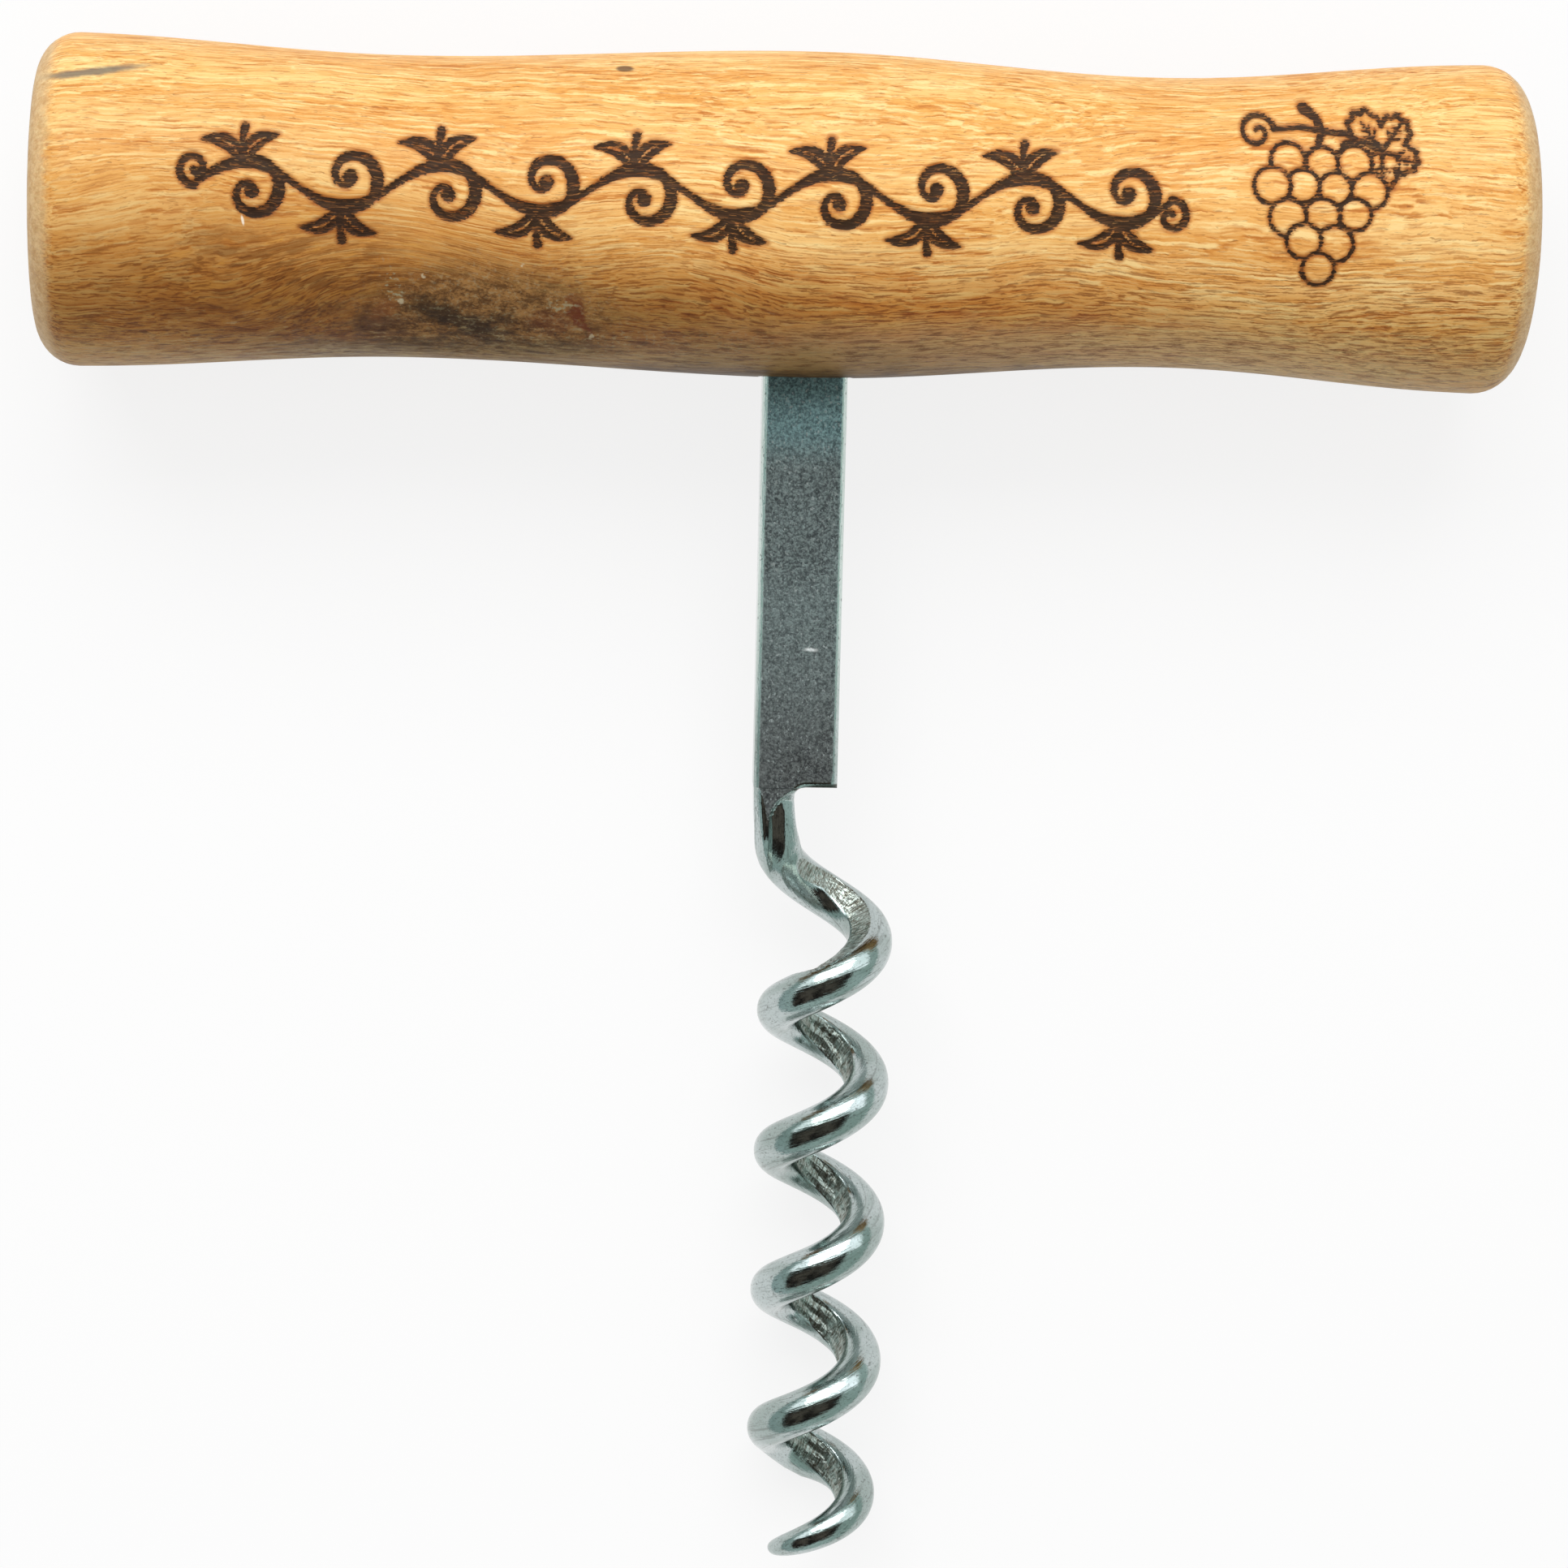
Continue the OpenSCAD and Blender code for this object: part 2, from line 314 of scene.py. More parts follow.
def new_finish(name):
    """A new material, with its nodes and its shader."""
    finish = bpy.data.materials.new(name)
    finish.use_nodes = True
    return finish, finish.node_tree, finish.node_tree.nodes["Principled BSDF"]


def add(tree, kind, inputs=None, **settings):
    """Adds one node, with its settings and its inputs by name or number."""
    node = tree.nodes.new("ShaderNode" + kind)
    for key, value in settings.items():
        setattr(node, key, value)
    for key, value in (inputs or {}).items():
        if isinstance(value, bpy.types.NodeSocket):
            tree.links.new(value, node.inputs[key])
        else:
            node.inputs[key].default_value = value
    return node


def paint(code):
    """A colour from its six-figure code, in linear light."""
    parts = [int(code[i:i + 2], 16) / 255 for i in (0, 2, 4)]
    return [c / 12.92 if c <= 0.04045 else ((c + 0.055) / 1.055) ** 2.4 for c in parts] + [1]


def sums(tree, how, a, b):
    """One arithmetic step on two numbers."""
    return add(tree, "Math", {0: a, 1: b}, operation=how).outputs[0]


def between(tree, value, low, high, out_low=0.0, out_high=1.0):
    """Smooth change from one level to another as a number passes from low to high."""
    step = {"Value": value, "From Min": low, "From Max": high,
            "To Min": out_low, "To Max": out_high}
    return add(tree, "MapRange", step, interpolation_type="SMOOTHSTEP").outputs[0]


def tinted(tree, amount, under, over, how="MIX"):
    """Lays one colour over another by an amount."""
    node = add(tree, "Mix", {0: amount, 6: under, 7: over}, data_type="RGBA", blend_type=how)
    return node.outputs[2]


def layered(tree, colour, layers):
    """Lays tones over a colour, one after another: each layer is its amount and its tone, and
    may end with how it is blended."""
    for amount, tone, *how in layers:
        colour = tinted(tree, amount, colour, tone, *how)
    return colour


def mottle(tree, place, stretch, scale=1.0, detail=2.0, rough=0.5, shift=0.0):
    """Noise about 0.5, drawn out by a stretch along each axis."""
    spread = add(tree, "Mapping", {"Vector": place, "Scale": stretch, "Location": (shift,) * 3})
    noise = add(tree, "TexNoise", {"Vector": spread.outputs[0], "Scale": scale, "Detail": detail,
                                   "Roughness": rough})
    return noise.outputs["Fac"]


def placed(tree, how, a, b):
    """One step on two places, such as ADD or MULTIPLY, for each of their three numbers."""
    return add(tree, "VectorMath", {0: a, 1: b}, operation=how).outputs[0]


def own_place(tree):
    """The corkscrew's own millimetres at the shaded point, from the piece's Object coordinates."""
    slope = math.atan2(own_axes[1, 2], own_axes[1, 1])
    shift = -(own_axes @ handle_middle) * 1000
    source = add(tree, "TexCoord").outputs["Object"]
    return add(tree, "Mapping", {"Vector": source, "Location": shift.tolist(),
                                 "Rotation": (-slope, 0, 0), "Scale": (1000,) * 3}).outputs[0]


def spot(tree, place, centre, reach, soft=1.0, turn=0.0):
    """A soft-edged patch: 1 inside an oval round its centre, 0 outside. It may be turned by
    some degrees in the plane that faces up."""
    offset = placed(tree, "SUBTRACT", place, centre)
    if turn:
        offset = add(tree, "VectorRotate", {"Vector": offset, "Angle": -math.radians(turn)},
                     rotation_type="Z_AXIS").outputs[0]
    scaled = placed(tree, "MULTIPLY", offset, [1 / r for r in reach])
    length = add(tree, "VectorMath", {0: scaled}, operation="LENGTH").outputs["Value"]
    return between(tree, length, 1 + soft / 2, max(0, 1 - soft / 2))


def tangled(tree, place, scale, reach):
    """A place moved about by noise, so that a patch on it has a ragged edge."""
    noise = add(tree, "TexNoise", {"Vector": place, "Scale": scale, "Detail": 5.0,
                                   "Roughness": 0.6}).outputs["Color"]
    move = placed(tree, "MULTIPLY", placed(tree, "SUBTRACT", noise, (0.5,) * 3), reach)
    return placed(tree, "ADD", place, move)


def part_of(tree, amount, share):
    """A share of an amount."""
    return sums(tree, "MULTIPLY", amount, share)


def weighed(tree, *terms):
    """The sum of some numbers, each times its weight."""
    total = part_of(tree, *terms[0])
    for value, weight in terms[1:]:
        total = sums(tree, "ADD", total, part_of(tree, value, weight))
    return total


wood_light, wood_pale, wood_gold = paint("ffdf9a"), paint("fac97e"), paint("efb261")
wood_amber, wood_dash, wood_pore = paint("dd9340"), paint("b96c29"), paint("7f481d")
smoke_and_shade, under_tint, low_amber = paint("bcaa7c"), paint("ded0aa"), paint("cf8a3b")
swirl_dark, swirl_pale, grey_dust_and_sheen = paint("9c6226"), paint("f3b458"), paint("cdb37e")
warm_tint, thread_tint, underside_shade = paint("e4cfb0"), paint("a3845c"), paint("7a684f")
dry_tan, nick_white = paint("cbb88e"), paint("fff4df")
stain_brown, stain_dark, stain_core = paint("a87b46"), paint("573a1d"), paint("3b2713")
stain_red, stain_purple, stain_orange = paint("703416"), paint("50301d"), paint("9c5b2a")
fleck_pale, dust_green, streak_blue = paint("dccfab"), paint("a79f7d"), paint("706b60")
burnt_dark, burnt_brown, scorch_tint = paint("1d1109"), paint("4a301b"), paint("b98a58")
rim_pale, rim_dark, end_dark = paint("e0c393"), paint("b98f5c"), paint("bd9159")

# Where the grain bends: centre of each bend, its reach, and how far it lifts the lines there
grain_bends = (((-39.0, 3.5, 9.0), (10.0, 7.0, 14.0), 2.4),
               ((-28.0, -6.0, 8.0), (6.5, 4.2, 9.0), 4.2),
               ((-9.0, -3.5, 10.0), (6.0, 3.6, 9.0), 1.3),
               ((37.0, 6.5, 8.0), (10.0, 5.0, 12.0), 1.5))


def wood_grain(tree, place):
    """The handle's place with its grain straightened: slow drifts, and the bends taken out."""
    slow = add(tree, "Mapping", {"Vector": place, "Scale": (0.035, 0.09, 0.09)}).outputs[0]
    drift = add(tree, "TexNoise", {"Vector": slow, "Scale": 1.0, "Detail": 1.0}).outputs["Color"]
    grain = placed(tree, "ADD", place, placed(tree, "MULTIPLY", drift, (0, 4.0, 4.0)))
    for centre, reach, lift in grain_bends:
        bend = spot(tree, place, centre, reach, 2.0)
        pull = add(tree, "VectorMath", {0: (0, -lift, 0), "Scale": bend}, operation="SCALE")
        grain = placed(tree, "ADD", grain, pull.outputs[0])
    return grain


def grain_colour(tree, grain, dashes, fine, pores):
    """Pale and golden bands along the grain, with pale streaks, dark dashes that are closer
    in some patches, and fine pores."""
    broad = mottle(tree, grain, (0.020, 0.16, 0.16))
    bands = mottle(tree, grain, (0.030, 0.75, 0.75), shift=7.0)
    patchy = mottle(tree, grain, (0.12, 0.45, 0.45), rough=0.6, shift=13.0)
    pales = mottle(tree, grain, (0.15, 3.1, 3.1), shift=31.0)
    dense = between(tree, patchy, 0.36, 0.60, 0.25, 1.0)
    colour = tinted(tree, between(tree, bands, 0.40, 0.60), wood_pale, wood_gold)
    return layered(tree, colour, (
        (between(tree, broad, 0.46, 0.62, 0, 0.45), wood_amber),
        (between(tree, pales, 0.51, 0.64, 0, 0.75), wood_light),
        (part_of(tree, between(tree, dashes, 0.50, 0.62, 0, 0.75), dense), wood_amber),
        (part_of(tree, between(tree, dashes, 0.58, 0.70, 0, 0.75), dense), wood_dash),
        (between(tree, fine, 0.53, 0.66, 0, 0.40), wood_dash),
        (between(tree, fine, 0.46, 0.34, 0, 0.35), wood_light),
        (between(tree, pores, 0.64, 0.72, 0, 0.45), wood_pore)))


def aged(tree, colour, grain, ragged, height, fine):
    """Years of use: an amber and swirled left side, smoky patches, dark threads on the lower half
    and a dry tan strip along its edge; and the lower side darker towards the bottom."""
    figure = mottle(tree, grain, (0.22, 1.0, 1.0), detail=4.0, rough=0.65, shift=23.0)
    ambers = spot(tree, ragged, (-37.0, -4.8, 9.0), (25.0, 5.8, 12.0), 1.3)
    swirl = spot(tree, ragged, (-34.0, -4.6, 9.5), (11.0, 4.0, 9.0), 1.2)
    sides = spot(tree, ragged, (8.0, -7.4, 7.0), (17.0, 4.6, 12.0), 1.2)
    smoky = [(part_of(tree, spot(tree, ragged, centre, reach, 1.4), share), smoke_and_shade, "MULTIPLY")
             for centre, reach, share in (((-46.0, -1.0, 9.0), (22.0, 7.0, 16.0), 0.24),
                                          ((-38.0, -8.4, 7.0), (25.0, 6.4, 13.0), 0.70),
                                          ((-17.0, -8.8, 7.0), (19.0, 5.2, 12.0), 0.72),
                                          ((-27.0, -11.0, 3.0), (12.0, 3.0, 7.0), 0.7))]
    dry = spot(tree, ragged, (20.0, -10.4, 5.0), (30.0, 3.4, 10.0), 1.0)
    threads = part_of(tree, between(tree, fine, 0.49, 0.63), between(tree, height, 0.0, -5.0))
    return layered(tree, colour, [
        (part_of(tree, ambers, 0.42), low_amber),
        (part_of(tree, swirl, between(tree, figure, 0.48, 0.60, 0, 0.65)), swirl_dark),
        (part_of(tree, swirl, between(tree, figure, 0.48, 0.38, 0, 0.75)), swirl_pale),
        (between(tree, height, -2.5, -9.5, 0, 0.72), under_tint, "MULTIPLY"),
        (sides, warm_tint, "MULTIPLY"), *smoky,
        (part_of(tree, dry, 0.42), dry_tan),
        (part_of(tree, threads, 0.55), thread_tint, "MULTIPLY")])


# The stain: tone, share, centre, reach and turn of each spot in it, then the dust on it and
# the flecks where the pale wood shows through
stain_spots = ((stain_core, 0.90, (-23.4, -7.7, 8.0), (4.0, 0.85, 3.0), -23),
               (stain_core, 0.60, (-20.6, -7.4, 8.0), (1.1, 0.5, 3.0), -15),
               (stain_core, 0.50, (-21.5, -9.6, 5.8), (8.0, 0.8, 4.0), 0),
               (stain_core, 0.45, (-30.5, -10.3, 5.5), (5.5, 0.9, 4.0), 0),
               (stain_purple, 0.65, (-29.2, -8.0, 7.5), (1.8, 1.1, 3.0), 0),
               (stain_orange, 0.40, (-28.8, -7.0, 8.2), (1.1, 0.6, 3.0), 20),
               (stain_red, 0.45, (-16.7, -7.6, 8.5), (1.7, 0.9, 3.0), 10),
               (stain_red, 0.90, (-14.8, -7.2, 8.6), (0.45, 1.7, 3.0), 22))
dust_spots = ((0.85, (-28.3, -5.4, 9.5), (0.55, 1.9, 3.0), 16),
              (0.60, (-16.3, -6.5, 9.0), (1.2, 0.35, 3.0), 10),
              (0.30, (-21.0, -6.0, 9.0), (8.5, 3.4, 4.0), 0),
              (0.40, (-9.0, -9.4, 5.5), (14.0, 1.6, 4.0), 0))
pale_flecks = (((-26.0, -4.4, 10.0), 0.12), ((-27.6, -6.3, 8.9), 0.18),
               ((-19.0, -3.5, 10.5), 0.10), ((-14.0, -8.65, 7.3), 0.16))


def stained(tree, colour, place, torn_place, patch, blots, soil):
    """The stain by the screw: a brown patch, dark and red spots in it, dust and flecks."""
    specks = mottle(tree, place, (1.0, 1.2, 1.2), 3.4, 1.0, shift=9.0)
    dull = tinted(tree, between(tree, soil, 0.40, 0.60), stain_dark, stain_brown)
    colour = tinted(tree, part_of(tree, patch, 0.88), colour, dull)
    for tone, share, centre, reach, turn in stain_spots:
        soiled = spot(tree, torn_place, centre, reach, 1.1, turn)
        colour = tinted(tree, part_of(tree, soiled, share), colour, tone)
    for share, centre, reach, turn in dust_spots:
        dusty = spot(tree, torn_place, centre, reach, 1.2, turn)
        dust = between(tree, weighed(tree, (specks, 0.6), (blots, 0.4)), 0.53, 0.64, 0, share)
        colour = tinted(tree, part_of(tree, dusty, dust), colour, dust_green)
    for centre, size in pale_flecks:
        fleck = spot(tree, tangled(tree, place, 3.0, (0.7,) * 3), centre, (size, size, 1.0), 0.9)
        colour = tinted(tree, part_of(tree, fleck, 0.6), colour, fleck_pale)
    return colour


def sheen_and_grime(tree, colour, place, height, fine):
    """The lower edge: grey threads at the very edge, a painted reflection of the pale floor, and
    dark and pale grime above it.
    """
    frayed = between(tree, fine, 0.36, 0.60, 0.3, 1)
    # Grey at the very edge, frayed along the grain: a painted reflection of the pale floor.
    floor_sheen = part_of(tree, between(tree, height, -8.6, -11.0), frayed)
    grime = mottle(tree, place, (0.55, 1.3, 2.4), detail=5.0, rough=0.75, shift=41.0)
    zone = between(tree, height, -5.5, -9.5)
    # First the painted reflection of the floor along the edge, then the dark and pale grime.
    return layered(tree, colour, (
        (part_of(tree, floor_sheen, 0.55), grey_dust_and_sheen),
        (part_of(tree, between(tree, grime, 0.48, 0.62, 0, 0.75), zone), thread_tint, "MULTIPLY"),
        (part_of(tree, between(tree, grime, 0.44, 0.32, 0, 0.50), zone), grey_dust_and_sheen)))


def marked(tree, colour, place):
    """Three small marks: a grey streak at the left end, a dark fleck and a pale nick."""
    wavy = tangled(tree, place, 1.2, (0.5, 0.3, 0.3))
    streak = spot(tree, wavy, (-49.7, 9.3, 7.5), (3.7, 0.26, 3.5), 1.0, 8)
    fleck = spot(tree, place, (-11.9, 10.36, 4.8), (0.62, 0.24, 0.8), 0.6)
    nick = spot(tree, place, (-38.7, -0.7, 11.0), (0.09, 0.34, 2.0), 0.8, 12)
    return layered(tree, colour, ((part_of(tree, streak, 0.85), streak_blue),
                                  (part_of(tree, fleck, 0.85), stain_dark),
                                  (part_of(tree, nick, 0.8), nick_white)))


def slot_shaded(tree, colour, place, ragged):
    """Darker wood towards the slot, partly a stain from the screw and partly painted shade on the
    underside, and a painted shadow line round the slot: the distance to the strip's section, as the
    length of what lies past its half sizes."""
    # Darker wood towards the slot: partly a stain from the screw, partly painted shade on the
    # underside.
    wide = spot(tree, ragged, (swell_offset, -12.6, -1.0), (22.0, 4.0, 13.0), 1.2)
    # Painted shade along the underside, over much of the handle's length.
    low = spot(tree, ragged, (8.0, -12.8, -2.0), (34.0, 2.1, 12.0), 1.0)
    # A painted shadow line round the slot, where the strip goes into the wood.
    offset = placed(tree, "SUBTRACT", place, (swell_offset, -swell_d / 2, 0))
    offset = add(tree, "VectorMath", {0: offset}, operation="ABSOLUTE").outputs[0]
    past = placed(tree, "SUBTRACT", offset, (strip_w / 2, 3.0, strip_t / 2))
    past = placed(tree, "MAXIMUM", past, (0, 0, 0))
    gap = add(tree, "VectorMath", {0: past}, operation="LENGTH").outputs["Value"]
    # Darker wood towards the slot, painted shade on the underside, and the painted shadow line
    # round the slot.
    return layered(tree, colour, ((part_of(tree, wide, 0.80), smoke_and_shade, "MULTIPLY"),
                                  (part_of(tree, low, 0.85), underside_shade, "MULTIPLY"),
                                  (between(tree, gap, 0.60, 0.12, 0, 0.9), stain_core)))


def ends_bared(tree, colour, place, blots, grit, soil):
    """The two ends: bare rims where the face turns outwards, and end grain with wavy rings
    round a pith that lies outside the wood."""
    facing = add(tree, "SeparateXYZ", {0: add(tree, "TexCoord").outputs["Normal"]}).outputs[0]
    facing = sums(tree, "ABSOLUTE", facing, 0)
    rim_tone = tinted(tree, between(tree, soil, 0.40, 0.62, 0, 0.75), rim_pale, rim_dark)
    border = sums(tree, "ADD", facing, part_of(tree, sums(tree, "SUBTRACT", blots, 0.5), 0.5))
    pith = placed(tree, "SUBTRACT", place, (0, -34.0, -16.0))
    pith = placed(tree, "MULTIPLY", pith, (0, 1, 1))
    reach = add(tree, "VectorMath", {0: pith}, operation="LENGTH").outputs["Value"]
    wander = mottle(tree, place, (0.0, 0.25, 0.25))
    ring = sums(tree, "SINE", weighed(tree, (reach, 3.4), (wander, 9)), 0)
    end_tone = sums(tree, "ADD", part_of(tree, ring, 0.16), grit)
    end_colour = tinted(tree, between(tree, end_tone, 0.30, 0.80), rim_pale, end_dark)
    return layered(tree, colour, ((between(tree, border, 0.36, 0.66, 0, 0.75), rim_tone),
                                  (between(tree, facing, 0.93, 0.995), end_colour)))


def wood_finish():
    """Oiled hardwood: lengthwise dashes in soft bands, bent round a small knot, with the stain
    by the screw, a grey streak at the left end, pale end grain and the burnt lines."""
    finish, tree, shader = new_finish("oiled_wood")
    place = own_place(tree)
    grain = tangled(tree, wood_grain(tree, place), 0.22, (2.4, 0.8, 0.8))
    ragged = tangled(tree, place, 0.30, (9.0, 3.2, 3.2))
    torn_place = tangled(tree, place, 0.9, (3.2, 2.0, 2.0))
    height = add(tree, "SeparateXYZ", {0: ragged}).outputs[1]

    dashes = mottle(tree, grain, (0.20, 3.9, 3.9), shift=3.0)
    fine = mottle(tree, grain, (0.42, 7.6, 7.6), detail=1.5, shift=5.0)
    pores = mottle(tree, grain, (0.90, 9.0, 9.0), detail=1.0, shift=17.0)
    blots = mottle(tree, place, (1.0, 1.4, 1.4), 0.95, 5.0, 0.70)
    grit = mottle(tree, place, (1.0, 1.3, 1.3), 4.2, 3.0, 0.7)
    soil = weighed(tree, (blots, 0.65), (grit, 0.35))
    patch = spot(tree, torn_place, (-21.6, -7.9, 8.0), (9.0, 4.2, 6.5), 0.8)

    colour = grain_colour(tree, grain, dashes, fine, pores)
    colour = aged(tree, colour, grain, ragged, height, fine)
    colour = stained(tree, colour, place, torn_place, patch, blots, soil)
    # A painted reflection of the floor in grey along the lower edge, and grime above it.
    colour = sheen_and_grime(tree, colour, place, height, fine)
    colour = marked(tree, colour, place)
    # Darker wood towards the slot, painted shade on the underside and a painted shadow line round
    # the slot.
    colour = slot_shaded(tree, colour, place, ragged)
    colour = ends_bared(tree, colour, place, blots, grit, soil)

    edge = add(tree, "Attribute", attribute_name="burn").outputs["Fac"]
    frayed = sums(tree, "SUBTRACT", fine, 0.5)
    edge = sums(tree, "ADD", edge, part_of(tree, frayed, 0.42))
    burnt = between(tree, edge, 0.07, -0.03)
    breaks = between(tree, pores, 0.60, 0.69, 0.95, 0.40)
    char = tinted(tree, between(tree, fine, 0.50, 0.66), burnt_dark, burnt_brown)
    colour = layered(tree, colour, (
        (between(tree, edge, 0.32, 0.0, 0, 0.75), scorch_tint, "MULTIPLY"),
        (part_of(tree, burnt, breaks), char)))
    tree.links.new(colour, shader.inputs["Base Color"])

    dull = part_of(tree, sums(tree, "MAXIMUM", burnt, patch), 0.2)
    gloss = sums(tree, "ADD", between(tree, dashes, 0.35, 0.65, 0.42, 0.54), dull)
    tree.links.new(gloss, shader.inputs["Roughness"])
    shader.inputs["Specular IOR Level"].default_value = 0.22
    relief = weighed(tree, (dashes, 0.6), (fine, 0.5), (pores, 0.4))
    relief = sums(tree, "SUBTRACT", relief, part_of(tree, grit, patch))
    bump = add(tree, "Bump", {"Height": relief, "Strength": 0.30, "Distance": 0.00012})
    bump.invert = True
    tree.links.new(bump.outputs[0], shader.inputs["Normal"])
    return finish


handle.data.materials.append(wood_finish())
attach(handle, "root")
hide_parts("handle")


# The screw: one piece of plated steel. A flat strip with a barbed tang stands in the wood; below
# the shoulder half of it is rounded into wire, which bends into an open right-handed worm.
# Its inner side is left flat with torn tool marks, and the end is ground to a blunt point.
strip_edge, shank_length, tang_length = 0.46, 30.3, 17.0
barb_depth, barb_pitch, barb_count = 0.7, 3.6, 3
worm_d, wire_d, worm_pitch, worm_turns = 10.1, 3.45, 10.8, 4.97
worm_offset, lead_length, bend_length = 2.6, 2.3, 7.9
taper_turns, taper_power = 0.6, 0.44
point_inset, point_lift = 0.32, 0.72
fillet, bevel_w, bevel_q = 0.8, 0.48, 0.38
tongue_end, back_step = 2.3, 0.3
step_slant, step_middle = 0.35, 0.4
torn_gap, torn_slant, torn_depth = 0.16, 0.35, 0.020
ridge_gap, ridge_depth, burr_reach = 0.85, 0.05, 0.55
wire_r = wire_d / 2
shoulder = swell_d / 2 + shank_length
split_half = strip_w / 4
coil_r = worm_d / 2 - wire_r
start_r = worm_offset + split_half
worm_drop = lead_length + bend_length / 2 + worm_turns * worm_pitch
front_steps, wide_steps, side_steps = 34, 14, 3
tip_length, tip_steps = 0.35, 17
front_share = (1 - np.cos(np.linspace(0, np.pi, front_steps))) / 2


def turns_at(drop):
    """Turns made at a drop below the shoulder: none in the lead, growing evenly over the bend."""
    bend = drop - lead_length
    curved = bend * bend / (2 * bend_length * worm_pitch)
    return np.where(bend <= 0, 0, np.where(bend < bend_length, curved,
                                           (bend - bend_length / 2) / worm_pitch))


def formed(drop):
    """How far the split strip has become the coiled wire, from 0 at the shoulder to 1."""
    return ease(drop / (lead_length + bend_length))


def wire_path(drop):
    """Middle of the wire: a helix round the worm's axis, which starts wider, under the strip."""
    angle = 2 * np.pi * turns_at(drop)
    radius = start_r + (coil_r - start_r) * formed(drop)
    return np.stack([swell_offset + worm_offset - radius * np.cos(angle), -shoulder - drop,
                     -radius * np.sin(angle)], 1)


def ground_share(drop):
    """Share of the wire's thickness that the grinding leaves: a low power of what is left."""
    left = np.clip((worm_drop - drop) / (taper_turns * worm_pitch), 0, 1)
    return left ** taper_power


def eased_edge(gap, width, depth, power=2.0):
    """How far an edge falls at a gap from it: a quarter of an oval, or nearly a bevel for a
    power close to 1."""
    t = np.clip(gap / width, 0, 1)
    return depth * (1 - (1 - (1 - t) ** power) ** (1 / power))


def notch_gap(x, drop):
    """Distance to the shoulder's edge and its fillet, for x measured from the strip's middle."""
    return np.hypot(np.maximum(fillet - x, 0), np.maximum(fillet - drop, 0)) - fillet


def barb_cut(drop):
    """Depth of the saw-tooth barbs in the tang's narrow edges."""
    above = -drop - shank_length - (tang_length - barb_count * barb_pitch)
    tooth = np.mod(above, barb_pitch) / (0.8 * barb_pitch)
    inside = (above > 0) & (above < barb_count * barb_pitch - 1e-6)
    return np.where(inside, barb_depth * np.clip(1 - tooth, 0, 1), 0)


def strip_rings():
    """Rings of the flat strip, from the top of the tang to the shoulder: two rows of points
    at plus and minus its half thickness, closed by short sides."""
    teeth = [np.array([0.0, 1e-4, 0.8 * barb_pitch]) + k * barb_pitch for k in range(barb_count)]
    tang = shank_length + tang_length - barb_count * barb_pitch + np.concatenate(teeth)
    plain = np.concatenate([stations((0.5, 0.6), (shank_length, 1.5), (tang[0], 1.0))[:-1],
                            np.linspace(0, 0.5, 14)[:-1], [shank_length + tang_length]])
    drop = -np.sort(np.concatenate([tang, plain]))[::-1]
    half = (strip_w / 2 - barb_cut(drop))[:, None]
    wide_share = np.sin(np.linspace(0, np.pi / 2, wide_steps + 1))[1:]
    left = -half + (fillet + half) * front_share
    right = fillet + (half - fillet) * wide_share
    x = np.concatenate([left, right], 1)
    notch = notch_gap(x, drop[:, None])
    gap = np.minimum(x + half, half - x)
    fall = np.maximum(eased_edge(gap, strip_edge, strip_edge, 1.2),
                      eased_edge(notch, bevel_w, bevel_q))
    return drop, x, strip_t / 2 - fall, np.minimum(gap - 0.36, notch - bevel_w)


def along_wire(drop, drops, sizes):
    """A size read off a table down the wire, as a column beside the points of its rings."""
    return np.interp(drop, drops, sizes)[:, None]


def tongue_edges(drop):
    """Left and right edge of the flat face's tongue, which narrows to a point on the wire."""
    left = along_wire(drop, [0, 0.85, 1.6, tongue_end], [-1.18, -0.85, -0.70, -0.60])
    right = along_wire(drop, [0, 0.3, 0.67, 1.07, 1.7, tongue_end],
                       [1.5, 1.2, 0.6, 0.1, -0.3, -0.50])
    return left, right


def closed_rings(x, front, back):
    """Closes a front row and a back row over the same x into rings, with short sides."""
    side = np.linspace(0, 1, side_steps + 2)[1:-1]
    right_side = front[:, -1:] * (1 - side) - back[:, -1:] * side
    left_side = front[:, :1] * side - back[:, :1] * (1 - side)
    ring_x = np.concatenate([x, x[:, -1:] + 0 * side, x[:, ::-1], x[:, :1] + 0 * side], 1)
    return ring_x, np.concatenate([front, right_side, -back[:, ::-1], left_side], 1)


